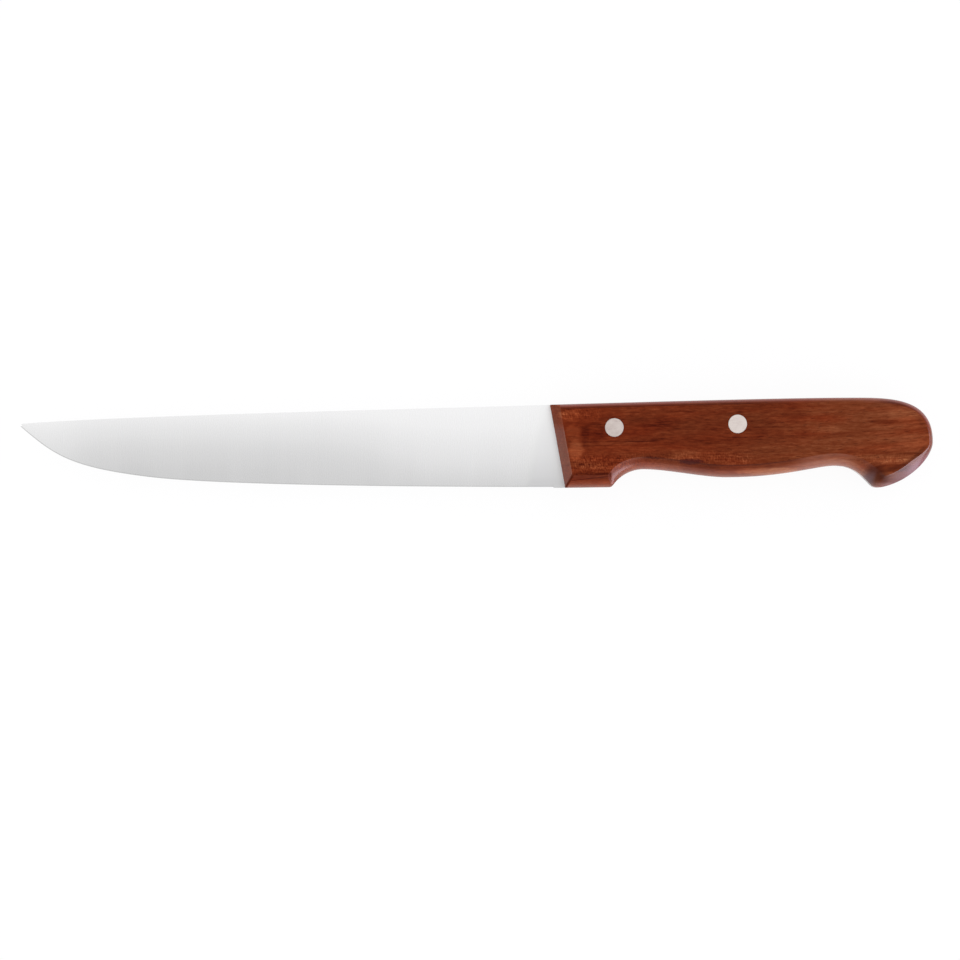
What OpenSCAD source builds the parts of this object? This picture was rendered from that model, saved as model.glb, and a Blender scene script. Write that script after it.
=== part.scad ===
// Carving knife with a slotted one-piece wooden handle. It lies on its side: the tip
// points to -X, the spine to +Y, and the lower cheek of the handle is the plane z = 0.

/* [Blade] */
// Tip to the front of the handle, measured half way up the blade
blade_length = 180.5; // [150:0.5:210]
// Cutting edge to spine, where the blade enters the handle
heel_height = 27.6; // [26:0.2:32]
// Height of the tip above the straight part of the cutting edge
tip_height = 20.3; // [16:0.1:23]
// Height of the blunt nose that ends the tip
tip_nose = 0.9; // [0.3:0.1:1.2]
// Steepness of the cutting edge where it leaves the tip, in degrees
tip_angle = 40.5; // [34:0.5:50]
// Tip to the point where the belly turns into the long flat curve
belly_reach = 43; // [36:0.5:50]
// Height of that point above the straight part of the edge
belly_rise = 3.4; // [2.4:0.2:5]
// Thickness of the steel that the blade is stamped from
blade_stock = 1.8; // [1.4:0.1:2.4]
// Depth of the grind on each side of the spine, where the grind ends
spine_grind = 0.1; // [0:0.02:0.2]
// Thickness of the spine at the tip, after grinding
tip_thickness = 0.7; // [0.5:0.1:1.2]
// Thickness just above the cutting bevel
edge_shoulder = 0.32; // [0.24:0.02:0.5]
// Width left on the very edge
edge_land = 0.06; // [0.04:0.01:0.1]
// Angle of the cutting bevel on each side, in degrees
bevel_angle = 20; // [15:1:25]
// How far the foot of the heel stands below the sharpened edge
heel_foot = 0.3; // [0.1:0.1:0.8]
// Length of the unsharpened foot that shows in front of the handle
foot_length = 3.9; // [3:0.1:4.8]
// Thickness of that foot
foot_thickness = 0.8; // [0.5:0.1:0.9]
// Chamfer along the bottom of that foot
foot_chamfer = 0.25; // [0.1:0.05:0.25]
// Distance from the handle's upper front corner to the end of the grind, at the edge
grind_stop = 7.8; // [6:0.2:12]
// Length over which the grind fades out into the full thickness
grind_fade = 4; // [2:0.5:6]
// Height over which the unground heel comes down to the cutting bevel
heel_rounding = 12; // [8:1:18]

/* [Tang] */
// Length of the tang behind the handle's upper front corner
tang_length = 76; // [72:1:84]
// Height of the tang below the spine
tang_height = 16.6; // [15:0.2:18]
// Length of full-height blade that is let into the handle
heel_insert = 6; // [4:0.5:7]
// Radius between that insert and the tang
tang_fillet = 3; // [1:0.5:4]
// Radius on the lower rear corner of the tang
tang_corner = 4; // [2:0.5:6]
// Gap on each flank and under the tang, filled with adhesive
slot_gap = 0.05; // [0.02:0.01:0.15]
// Length by which the sawn slot runs past the end of the tang
slot_runout = 0.8; // [0.3:0.1:2]

/* [Handle] */
// Upper front corner of the handle to its rear end
handle_length = 128.4; // [120:0.2:140]
// Thickness between the two flat cheeks
handle_thickness = 17; // [15:0.5:20]
// How far the lower front corner lies behind the upper one
front_lean = 5.1; // [3:0.1:7]
// Rise of the handle's back above the heel, at its highest point
crest_rise = 2.35; // [1.5:0.05:4]
// Distance of that highest point from the rear end
crest_back = 27.3; // [22:0.1:34]
// Height of the rearmost point above the cutting edge
butt_height = 15.2; // [14:0.2:18]
// Length of the straight guard under the front of the handle
guard_length = 15.7; // [12:0.1:17]
// Guard corner to the top of the finger hollow
hollow_reach = 10.6; // [9:0.1:13]
// Height of the finger hollow above the cutting edge
hollow_rise = 5.95; // [4.5:0.05:7]
// Upper front corner to the lowest point of the palm swell
swell_reach = 59.2; // [54:0.1:64]
// Height of the palm swell above the cutting edge
swell_rise = 3.25; // [2:0.05:5]
// Top of the rear hollow to the rear end
waist_back = 32.8; // [30:0.1:36]
// Height of the rear hollow above the cutting edge
waist_rise = 7.1; // [5:0.05:8.5]
// Point of the beak to the rear end
beak_back = 19.6; // [17:0.1:22]
// Drop of the sharp beak corner below the cutting edge, before it is rounded
beak_drop = 0.4; // [0:0.1:1]
// Rounding radius of the beak
beak_radius = 3.5; // [2:0.1:4.5]
// Rounding radius of the guard corner
guard_radius = 1.6; // [0.6:0.1:1.8]

/* [Bevels] */
// Width of the flat chamfer across the front
front_bevel = 3.1; // [1.5:0.1:3.6]
// Width of the rounded bevel along the guard
guard_bevel = 4.2; // [2:0.1:4.6]
// Width of the flat bevel where the finger hollow starts behind the guard
notch_bevel = 3.1; // [1.4:0.1:3.6]
// Width of the rounded bevel in the hollows and on the palm swell
grip_bevel = 4.2; // [2:0.1:4.4]
// Width of the soft rounding on the hollow side of the beak
beak_bevel = 5.4; // [3:0.1:5.6]
// Width of the chamfer from the beak to the rear end
butt_bevel = 3.4; // [1.5:0.1:3.6]
// Width of the rounding round the rear end of the handle
rear_bevel = 1.4; // [0.8:0.1:2]
// Width of the rounding along the back of the handle
back_bevel = 1.7; // [0.8:0.1:2.4]

/* [Rivets] */
// Upper front corner of the handle to the front rivet
rivet_reach = 21.5; // [18:0.1:26]
// Rear rivet to the rear end of the tang
rivet_back = 13.2; // [9:0.1:18]
// Diameter of a rivet head
rivet_head = 6.3; // [5.5:0.1:7.5]
// Thickness of a rivet head
rivet_head_depth = 1.6; // [1.2:0.1:2.4]
// Outer diameter of the hollow half
sleeve_diameter = 4; // [3.6:0.1:4.6]
// Diameter of the solid half's stem
stem_diameter = 3; // [2.4:0.1:3.2]
// Radial gap round each rivet part
rivet_gap = 0.02; // [0.01:0.01:0.05]
// Gap between the end of the sleeve and the opposite head
sleeve_gap = 0.3; // [0.1:0.1:1]
// How far the stem stays short of the sleeve's floor
stem_gap = 2; // [0.5:0.5:4]

/* [Hidden] */

$fn = 48;
curve_steps = 13;   // pieces that one curved side of the handle is cut into
corner_steps = 4;   // pieces that one rounded corner is cut into
belly_steps = 22;   // blade stations between the tip and the end of the belly
flat_steps = 26;    // blade stations along the long flat curve
face_rows = 8;      // rows of the ground face between the bevel and the spine
row_power = 1.3;    // more than 1 sets those rows closer together near the edge
station_power = 0.8; // less than 1 sets the blade stations closer together near the heel
taper_power = 0.6;  // less than 1 keeps the spine thick for longer towards the tip
grind_crown = 1.35; // 1 is a flat grind, more is a crowned one
spine_tilt = 1.67;  // slope of the back where blade and handle meet, in degrees
tip_tilt = 5;       // slope of the spine at the tip, in degrees
belly_tilt = -7;    // slope of the edge where the belly ends, in degrees
grind_lean = 0.2;   // how far the end of the grind leans back, per millimetre of height
sharp_radius = 0.3; // rounding of the handle's sharp corners, in millimetres
overrun = 5;        // how far a cutting shape passes the wood that it opens
union_lap = 1;      // how far the ground blade and the tang run into each other
foot_share = 0.3;   // height of the foot, as a share of the heel's rounding
notch_turn = [0, 0.6];   // shares of the hollow over which its bevel grows to full width
butt_turn = [0.45, 0.95]; // shares of the butt over which its chamfer narrows

// Slopes at the corners of the handle, in degrees
notch_heading = 65;
hook_heading = -43;
butt_heading = 5;

// Reach of the control points at the two ends of each curve, as shares of the straight
// distance between the ends
hollow_ease = [0.25, 0.42];
swell_ease = [0.29, 0.29];
waist_ease = [0.54, 0.17];
beak_ease = [0.46, 0.36];
butt_ease = [0.44, 0.21];
rump_ease = [0.49, 0.4];
back_ease = [0.22, 0.32];
spine_ease = [0.16, 0.32];
belly_ease = [0.32, 0.58];
flat_ease = [0.18, 0.30];

function mix(a, b, t) = a + (b - a) * t;
function clamp01(t) = max(0, min(1, t));
function soften(t) = let (c = clamp01(t)) c * c * (3 - 2 * c);
function heading(angle, reach = 1) = reach * [cos(angle), sin(angle)];
function bezier(c, t) = pow(1 - t, 3) * c[0] + 3 * pow(1 - t, 2) * t * c[1]
                      + 3 * (1 - t) * t * t * c[2] + t * t * t * c[3];
function bezier_slope(c, t) = 3 * (pow(1 - t, 2) * (c[1] - c[0])
                                 + 2 * (1 - t) * t * (c[2] - c[1]) + t * t * (c[3] - c[2]));
// A curve from a to b that leaves and arrives at the given headings
function sweep_curve(a, leave, b, arrive, ease) =
    let (span = norm(b - a))
    [a, a + heading(leave, ease[0] * span), b - heading(arrive, ease[1] * span), b];
function curve_at_x(c, x, lo = 0, hi = 1, tries = 26) =
    let (mid = (lo + hi) / 2)
    tries == 0 ? mid
    : bezier(c, mid)[0] < x ? curve_at_x(c, x, mid, hi, tries - 1)
    : curve_at_x(c, x, lo, mid, tries - 1);
function straight(a, b) = [a, mix(a, b, 1 / 3), mix(a, b, 2 / 3), b];
function reversed(c) = [c[3], c[2], c[1], c[0]];
function height_at(c, x) = bezier(c, curve_at_x(c, x))[1];

// Sizes below are in the knife's own plane: along from the handle's upper front corner,
// and height above the straight part of the cutting edge
front_top = [0, heel_height];
front_foot = [front_lean, -heel_foot];
guard_corner = [front_lean + guard_length, -heel_foot / 3];
finger_hollow = [guard_corner[0] + hollow_reach, hollow_rise];
palm_swell = [swell_reach, swell_rise];
waist = [handle_length - waist_back, waist_rise];
beak = [handle_length - beak_back, -beak_drop];
butt = [handle_length, butt_height];
crest = [handle_length - crest_back, heel_height + crest_rise];

guard_curve = straight(front_foot, guard_corner);
hollow_curve = sweep_curve(guard_corner, notch_heading, finger_hollow, 0, hollow_ease);
swell_curve = sweep_curve(finger_hollow, 0, palm_swell, 0, swell_ease);
waist_curve = sweep_curve(palm_swell, 0, waist, 0, waist_ease);
beak_curve = sweep_curve(waist, 0, beak, hook_heading, beak_ease);
butt_curve = sweep_curve(beak, butt_heading, butt, 90, butt_ease);
rump_curve = sweep_curve(butt, 90, crest, 180, rump_ease);
back_curve = sweep_curve(crest, 180, front_top, 180 + spine_tilt, back_ease);
front_curve = straight(front_top, front_foot);

tip = [front_lean / 2 - blade_length, tip_height];
belly = [tip[0] + belly_reach, belly_rise];
edge_end = [front_lean - foot_length, 0];
spine_curve = sweep_curve(tip + [0, tip_nose], tip_tilt, front_top, spine_tilt, spine_ease);
belly_curve = sweep_curve(tip, -tip_angle, belly, belly_tilt, belly_ease);
flat_curve = sweep_curve(belly, belly_tilt, edge_end, 0, flat_ease);
// Height of the steel's upper side, along the blade and on into the handle
function top_at(x) = x < 0 ? height_at(spine_curve, x) : height_at(reversed(back_curve), x);

// Bevels of the handle's edge: width on the cheek, depth into the flank as a share of
// that width, and roundness, where 0 is a flat chamfer and 1 runs smoothly into both faces
function bevel(width, depth_share, roundness) = [width, depth_share * width, roundness];
front_edge = bevel(front_bevel, 1, 0.1);
guard_edge = bevel(guard_bevel, 0.9, 0.5);
notch_edge = bevel(notch_bevel, 0.75, 0.03);
grip_edge = bevel(grip_bevel, 1, 0.55);
beak_edge = bevel(beak_bevel, 0.8, 0.6);
butt_edge = bevel(butt_bevel, 0.75, 0.03);
rear_edge = bevel(rear_bevel, 2, 0.6);
back_edge = bevel(back_bevel, 1.2, 0.8);

bevel_depth_max = max([for (e = [front_edge, guard_edge, notch_edge, grip_edge, beak_edge,
                                 butt_edge, rear_edge, back_edge]) e[1]]);
bevel_levels = [0, 0.06, 0.14, 0.25, 0.4, 0.58, 0.78, 1];  // shares of the deepest bevel

// How far the outline is drawn in at a depth below the cheek. The bevel's profile is a
// quadratic curve, and t is the place on it
function bevel_inset(edge, depth) =
    let (down = clamp01(depth / edge[1]), round = edge[2],
         t = 2 * down / (1 - round + sqrt(pow(1 - round, 2) + 4 * round * down)))
    down == 0 ? edge[0] : edge[0] * (1 - t) * (1 - round * t);

// The handle's outline, counter-clockwise: each side has its curve, the bevels at its two
// ends, the number of pieces it is cut into, the rounding of the corner at its end, where 0
// means that the next side carries on smoothly, and the shares of the side between which
// the first bevel turns into the second
whole = [0, 1];
sides = [[guard_curve, guard_edge, guard_edge, 1, guard_radius, whole],
         [hollow_curve, notch_edge, grip_edge, curve_steps, 0, notch_turn],
         [swell_curve, grip_edge, grip_edge, curve_steps, 0, whole],
         [waist_curve, grip_edge, grip_edge, curve_steps, 0, whole],
         [beak_curve, grip_edge, beak_edge, curve_steps, beak_radius, whole],
         [butt_curve, butt_edge, rear_edge, curve_steps, 0, butt_turn],
         [rump_curve, rear_edge, back_edge, curve_steps, 0, whole],
         [back_curve, back_edge, back_edge, curve_steps, sharp_radius, whole],
         [front_curve, front_edge, front_edge, 1, sharp_radius, whole]];

function left_of(v) = [-v[1], v[0]] / norm(v);
function inset_at(side, t, depth) =
    let (turned = soften((t - side[5][0]) / (side[5][1] - side[5][0])))
    bevel_inset(mix(side[1], side[2], turned), depth);
function edge_point(side, t, depth) =
    bezier(side[0], t) + inset_at(side, t, depth) * left_of(bezier_slope(side[0], t));

// Where two sides cross at a depth, found by stepping along both to where their tangents
// cross: the share of each side, and the point
function crossing(a, b, depth, s = 1, t = 0, tries = 14) =
    let (pa = edge_point(a, s, depth), pb = edge_point(b, t, depth),
         da = bezier_slope(a[0], s), db = bezier_slope(b[0], t),
         step_a = cross(pb - pa, db) / cross(da, db),
         step_b = cross(pb - pa, da) / cross(da, db))
    tries == 0 ? [s, t, pa] : crossing(a, b, depth, s + step_a, t + step_b, tries - 1);

// The corner after a side: the share where the side ends, the share where the next one
// starts, and the sharp corner point that is rounded off between them
function corner(n, depth) =
    let (a = sides[n], b = sides[(n + 1) % len(sides)],
         meet = crossing(a, b, depth),
         da = bezier_slope(a[0], meet[0]), db = bezier_slope(b[0], meet[1]),
         turn = acos(da * db / norm(da) / norm(db)),
         inset = min(inset_at(a, meet[0], depth), inset_at(b, meet[1], depth)),
         cut = max(a[4] - inset, sharp_radius) * tan(turn / 2))
    [meet[0] - cut / norm(da), meet[1] + cut / norm(db), meet[2]];

function handle_outline(depth) =
    let (count = len(sides),
         corners = [for (n = [0 : count - 1]) sides[n][4] > 0 ? corner(n, depth) : [1, 0]])
    [for (n = [0 : count - 1])
        let (side = sides[n],
             before = corners[(n + count - 1) % count],
             after = corners[n],
             smooth_start = len(before) == 2,
             last = edge_point(side, after[0], depth))
        each concat(
            [for (i = [smooth_start ? 1 : 0 : side[3]])
                edge_point(side, mix(before[1], after[0], i / side[3]), depth)],
            len(after) == 2 ? [] :
                let (next = edge_point(sides[(n + 1) % count], after[1], depth))
                [for (i = [1 : corner_steps - 1])
                    let (t = i / corner_steps)
                    mix(mix(last, after[2], t), mix(after[2], next, t), t)])];

// The model is centred on its own outline, so the origin is below the middle of its box
outline = handle_outline(bevel_depth_max);
centre_x = (tip[0] + max([for (p = outline) p[0]])) / 2;
centre_y = (min([for (p = outline) p[1]]) + max([for (p = outline) p[1]])) / 2;
middle_z = handle_thickness / 2;

// Closes a skin over rings of equal length, with the first and last ring as flat caps
module skin(rings) {
    count = len(rings[0]);
    last = len(rings) - 1;
    points = [for (r = rings) each r];
    sides = [for (k = [0 : last - 1], i = [0 : count - 1])
        let (j = (i + 1) % count, low = k * count, high = low + count)
        each [[low + i, high + i, high + j], [low + i, high + j, low + j]]];
    caps = [[for (i = [0 : count - 1]) i],
            [for (i = [count - 1 : -1 : 0]) last * count + i]];
    polyhedron(points = points, faces = concat(sides, caps), convexity = 6);
}

module handle_block() {
    depths = bevel_depth_max * bevel_levels;
    levels = concat([for (d = depths) [d, d]],
                    [for (i = [len(depths) - 1 : -1 : 0]) [depths[i], handle_thickness - depths[i]]]);
    skin([for (l = levels) [for (p = handle_outline(l[0])) [p[0], p[1], l[1]]]]);
}

// Half thickness of the blade at a station, a height above its edge and that height's share
function half_thickness(along, height, share) =
    let (run = clamp01((along - tip[0]) / (-tip[0])),
         spine = mix(tip_thickness / 2, blade_stock / 2 - spine_grind, pow(run, taper_power)),
         ground = mix(edge_shoulder / 2, spine, 1 - pow(1 - share, grind_crown)),
         stop = grind_lean * height - grind_stop,
         fade = soften((along - stop) / grind_fade + 0.5),
         rise = 1 - pow(1 - clamp01(height / heel_rounding), 2))
    mix(ground, blade_stock / 2, fade * rise);

// One station of the blade: the heights of its rows above the edge, with half thicknesses
function blade_station(along, low, high) =
    let (tall = high - low,
         flank = half_thickness(along, low, 0),
         shoulder = min((flank - edge_land / 2) / tan(bevel_angle), 0.5 * tall),
         rows = concat([0], [for (j = [0 : face_rows])
             mix(shoulder, tall, pow(j / face_rows, row_power))]))
    [for (row = rows)
        [low + row, min(half_thickness(along, low + row, clamp01((row - shoulder) / (tall - shoulder))),
                        edge_land / 2 + row * tan(bevel_angle))]];

// Stations along the edge, and one more inside the handle
stations = concat(
    [for (i = [0 : belly_steps - 1]) bezier(belly_curve, i / belly_steps)],
    [for (i = [0 : flat_steps]) bezier(flat_curve, pow(i / flat_steps, station_power))],
    [[front_lean + union_lap, 0]]);

module ground_blade() {
    skin([for (s = stations)
        let (side = blade_station(s[0], s[1], top_at(s[0])), last = len(side) - 1)
        concat([for (j = [0 : last]) [s[0], side[j][0], -side[j][1]]],
               [for (j = [last : -1 : 0]) [s[0], side[j][0], side[j][1]]])]);
}

// The unsharpened foot at the end of the edge, which runs on into the handle
module foot() {
    half = foot_thickness / 2;
    height = foot_share * heel_rounding;
    inner = half - foot_chamfer;
    translate([edge_end[0], 0, 0]) rotate([90, 0, 90])
        linear_extrude(front_lean + union_lap - edge_end[0])
            polygon([[-heel_foot, -inner], [foot_chamfer - heel_foot, -half], [height, -half],
                     [height, half], [foot_chamfer - heel_foot, half], [-heel_foot, inner]]);
}

// Side view of the tang and the heel insert. The gap widens it for the slot, and over
// carries the open sides past the wood
function arc(centre, radius, from, to) =
    [for (i = [0 : corner_steps]) centre + heading(mix(from, to, i / corner_steps), radius)];
function tang_shape(gap, runout, over) =
    let (line = heel_height - tang_height - gap,
         under = function (x) line + x * tan(spine_tilt),
         lean = front_lean / (heel_height + heel_foot),
         back = front_lean + heel_insert + gap,
         fillet = tang_fillet - gap,
         rear = tang_length + runout,
         corner_x = rear - tang_corner,
         fillet_x = back - lean * under(back) + fillet + gap)
    concat(over > 0 ? [[-over, -heel_foot - over], [back, -heel_foot - over]]
                    : [front_foot, [back, height_at(guard_curve, back)]],
           arc([fillet_x, under(fillet_x) - fillet], fillet, 180, 90),
           arc([corner_x, under(corner_x) + tang_corner], tang_corner, 270, 360),
           over > 0 ? [[rear, crest[1] + over], [-over, crest[1] + over]]
                    : [for (i = [curve_steps : -1 : 0])
                          let (x = rear * i / curve_steps) [x, top_at(x)]]);

module tang() {
    translate([0, 0, middle_z - blade_stock / 2])
        linear_extrude(blade_stock) polygon(tang_shape(0, 0, 0));
}

module slot() {
    translate([0, 0, middle_z - blade_stock / 2 - slot_gap])
        linear_extrude(blade_stock + 2 * slot_gap)
            polygon(tang_shape(slot_gap, slot_runout, overrun));
}

// The rivets stand on the middle line of the tang: one near the front of the handle, and
// one near the rear end of the tang
front_rivet = rivet_reach;
rear_rivet = tang_length - rivet_back;
function rivet_place(x) = [x, heel_height - tang_height / 2 + x * tan(spine_tilt), 0];
module at_rivets() for (x = [front_rivet, rear_rivet]) translate(rivet_place(x)) children();

module rivet_bore() {
    translate([0, 0, -overrun])
        cylinder(d = sleeve_diameter + 2 * rivet_gap, h = handle_thickness + 2 * overrun);
    translate([0, 0, -overrun])
        cylinder(d = rivet_head + 2 * rivet_gap, h = rivet_head_depth + overrun);
    translate([0, 0, handle_thickness - rivet_head_depth])
        cylinder(d = rivet_head + 2 * rivet_gap, h = rivet_head_depth + overrun);
}

module centred() translate([-centre_x, -centre_y, 0]) children();

module blade() {
    color([0.80, 0.81, 0.82]) centred() difference() {
        union() {
            translate([0, 0, middle_z]) ground_blade();
            translate([0, 0, middle_z]) foot();
            tang();
        }
        at_rivets() cylinder(d = sleeve_diameter + 2 * rivet_gap, h = handle_thickness);
    }
}

module handle() {
    color([0.45, 0.18, 0.09]) centred() difference() {
        handle_block();
        slot();
        at_rivets() rivet_bore();
    }
}

module rivet_sleeve(x) {
    color([0.80, 0.76, 0.74]) centred() translate(rivet_place(x)) difference() {
        union() {
            cylinder(d = rivet_head, h = rivet_head_depth);
            cylinder(d = sleeve_diameter, h = handle_thickness - rivet_head_depth - sleeve_gap);
        }
        translate([0, 0, rivet_head_depth])
            cylinder(d = stem_diameter + 2 * rivet_gap, h = handle_thickness);
    }
}

module rivet_stem(x) {
    stem_foot = rivet_head_depth + stem_gap;
    color([0.80, 0.76, 0.74]) centred() translate(rivet_place(x)) union() {
        translate([0, 0, handle_thickness - rivet_head_depth])
            cylinder(d = rivet_head, h = rivet_head_depth);
        translate([0, 0, stem_foot])
            cylinder(d = stem_diameter, h = handle_thickness - stem_foot);
    }
}

blade();
handle();
rivet_sleeve(front_rivet);  // front_rivet_sleeve
rivet_stem(front_rivet);  // front_rivet_stem
rivet_sleeve(rear_rivet);  // rear_rivet_sleeve
rivet_stem(rear_rivet);  // rear_rivet_stem
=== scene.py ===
from collections import namedtuple
from math import cos, pi, prod, radians, sin, tan
from types import SimpleNamespace

import bmesh
import bpy
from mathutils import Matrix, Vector


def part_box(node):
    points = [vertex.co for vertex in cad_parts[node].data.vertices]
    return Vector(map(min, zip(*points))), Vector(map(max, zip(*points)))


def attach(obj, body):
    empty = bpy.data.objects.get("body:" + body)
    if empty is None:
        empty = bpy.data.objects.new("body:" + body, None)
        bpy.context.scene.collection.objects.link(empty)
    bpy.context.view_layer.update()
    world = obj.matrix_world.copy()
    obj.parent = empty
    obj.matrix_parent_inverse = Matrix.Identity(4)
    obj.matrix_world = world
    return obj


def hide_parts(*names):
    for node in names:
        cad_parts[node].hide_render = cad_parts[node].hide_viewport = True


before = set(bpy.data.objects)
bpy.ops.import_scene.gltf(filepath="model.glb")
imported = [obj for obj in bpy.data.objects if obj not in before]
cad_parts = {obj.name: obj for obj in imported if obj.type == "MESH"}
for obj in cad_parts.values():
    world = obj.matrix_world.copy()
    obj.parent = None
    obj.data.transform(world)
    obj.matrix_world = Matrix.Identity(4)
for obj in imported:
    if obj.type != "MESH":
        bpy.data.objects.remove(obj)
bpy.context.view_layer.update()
print("frame loaded:", sorted(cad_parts))

mm = 0.001
bladeLow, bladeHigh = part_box("blade")
handleLow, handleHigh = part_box("handle")

# Lines of the whole knife, in millimetres and degrees, in its own plane: along from the
# handle's upper front corner, and height above the straight part of the cutting edge
knifeLines = {
    "heelHeight": 27.6,
    "heelFoot": 0.3,
    "footLength": 3.9,
    "tipHeight": 20.3,
    "tipNose": 0.9,
    "tipAngle": 40.5,
    "tipTilt": 5,
    "bellyReach": 43,
    "bellyRise": 3.4,
    "bellyTilt": -7,
    "spineTilt": 1.67,
    "handleLength": 128.4,
    "frontLean": 5.1,
    "crestRise": 2.35,
    "crestBack": 27.3,
    "buttHeight": 15.2,
    "buttHeading": 5,
    "guardLength": 15.7,
    "notchHeading": 65,
    "hollowReach": 10.6,
    "hollowRise": 5.95,
    "swellReach": 59.2,
    "swellRise": 3.25,
    "waistBack": 32.8,
    "waistRise": 7.1,
    "beakBack": 19.6,
    "beakDrop": 0.4,
    "hookHeading": -43,
    "grindStop": 7.8,  # the blade's ground face ends this far ahead of the handle
    "grindLean": 0.2,
}

thickness = (handleHigh.z - handleLow.z) / mm
stock = (bladeHigh.z - bladeLow.z) / mm
middle = handleLow.z / mm + thickness / 2
startX = handleHigh.x / mm - knifeLines["handleLength"]
startY = handleHigh.y / mm - knifeLines["heelHeight"] - knifeLines["crestRise"]
rise = tan(radians(knifeLines["spineTilt"]))


def inFrame(along, height, z):
    return Vector(((startX + along) * mm, (startY + height) * mm, z * mm))


def mixed(a, b, t):
    return a + (b - a) * t


def heading(angle, reach=1):
    return Vector((cos(radians(angle)), sin(radians(angle)))) * reach


def bezier(curve, t):
    a, b, c, d = curve
    return a * (1 - t) ** 3 + b * (3 * (1 - t) ** 2 * t) + c * (3 * (1 - t) * t * t) + d * t ** 3


def bezierSlope(curve, t):
    a, b, c, d = curve
    return ((b - a) * (1 - t) ** 2 + (c - b) * (2 * (1 - t) * t) + (d - c) * t * t) * 3


def sweepCurve(a, leave, b, arrive, easeA, easeB):
    span = (b - a).length
    return [a, a + heading(leave, easeA * span), b - heading(arrive, easeB * span), b]


def straight(a, b):
    return [a, mixed(a, b, 1 / 3), mixed(a, b, 2 / 3), b]


def shareAtX(curve, x):
    low, high = 0.0, 1.0
    rising = curve[3].x > curve[0].x
    for step in range(40):
        half = (low + high) / 2
        if (bezier(curve, half).x < x) == rising:
            low = half
        else:
            high = half
    return low


def heightAt(curve, x):
    return bezier(curve, shareAtX(curve, x)).y


def firstPart(curve, t):
    a, b, c, d = curve
    ab, bc, cd = mixed(a, b, t), mixed(b, c, t), mixed(c, d, t)
    return [a, ab, mixed(ab, bc, t), bezier(curve, t)]


def knifeCurves():
    line = knifeLines
    frontTop = Vector((0, line["heelHeight"]))
    frontFoot = Vector((line["frontLean"], -line["heelFoot"]))
    guardCorner = Vector((frontFoot.x + line["guardLength"], -line["heelFoot"] / 3))
    hollow = Vector((guardCorner.x + line["hollowReach"], line["hollowRise"]))
    swell = Vector((line["swellReach"], line["swellRise"]))
    waist = Vector((line["handleLength"] - line["waistBack"], line["waistRise"]))
    beak = Vector((line["handleLength"] - line["beakBack"], -line["beakDrop"]))
    butt = Vector((line["handleLength"], line["buttHeight"]))
    crest = Vector((line["handleLength"] - line["crestBack"], frontTop.y + line["crestRise"]))
    tip = Vector((bladeLow.x / mm - startX, line["tipHeight"]))
    nose = tip + Vector((0, line["tipNose"]))
    belly = Vector((tip.x + line["bellyReach"], line["bellyRise"]))
    edgeEnd = Vector((frontFoot.x - line["footLength"], 0))
    tilt, hook = line["spineTilt"], line["hookHeading"]
    return {
        "guard": straight(frontFoot, guardCorner),
        "hollow": sweepCurve(guardCorner, line["notchHeading"], hollow, 0, 0.25, 0.42),
        "swell": sweepCurve(hollow, 0, swell, 0, 0.29, 0.29),
        "waist": sweepCurve(swell, 0, waist, 0, 0.54, 0.17),
        "beak": sweepCurve(waist, 0, beak, hook, 0.46, 0.36),
        "butt": sweepCurve(beak, line["buttHeading"], butt, 90, 0.44, 0.21),
        "rump": sweepCurve(butt, 90, crest, 180, 0.49, 0.4),
        "back": sweepCurve(crest, 180, frontTop, 180 + tilt, 0.22, 0.32),
        "front": straight(frontTop, frontFoot),
        "spine": sweepCurve(nose, line["tipTilt"], frontTop, tilt, 0.16, 0.32),
        "belly": sweepCurve(tip, -line["tipAngle"], belly, line["bellyTilt"], 0.32, 0.58),
        "flat": sweepCurve(belly, line["bellyTilt"], edgeEnd, 0, 0.18, 0.3),
    }


curves = knifeCurves()
curves["backAhead"] = curves["back"][::-1]


# A node's output: arithmetic on it adds Math nodes
class Wire:
    def __init__(self, tree, socket):
        self.tree = tree
        self.socket = socket

    def __add__(self, other):
        return self.tree.math("ADD", self, other)

    __radd__ = __add__

    def __sub__(self, other):
        return self.tree.math("SUBTRACT", self, other)

    def __rsub__(self, other):
        return self.tree.math("SUBTRACT", other, self)

    def __mul__(self, other):
        return self.tree.math("MULTIPLY", self, other)

    __rmul__ = __mul__

    def __truediv__(self, other):
        return self.tree.math("DIVIDE", self, other)

    def __rtruediv__(self, other):
        return self.tree.math("DIVIDE", other, self)

    def __pow__(self, other):
        return self.tree.math("POWER", self, other)

    def __abs__(self):
        return self.tree.math("ABSOLUTE", self)


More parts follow.
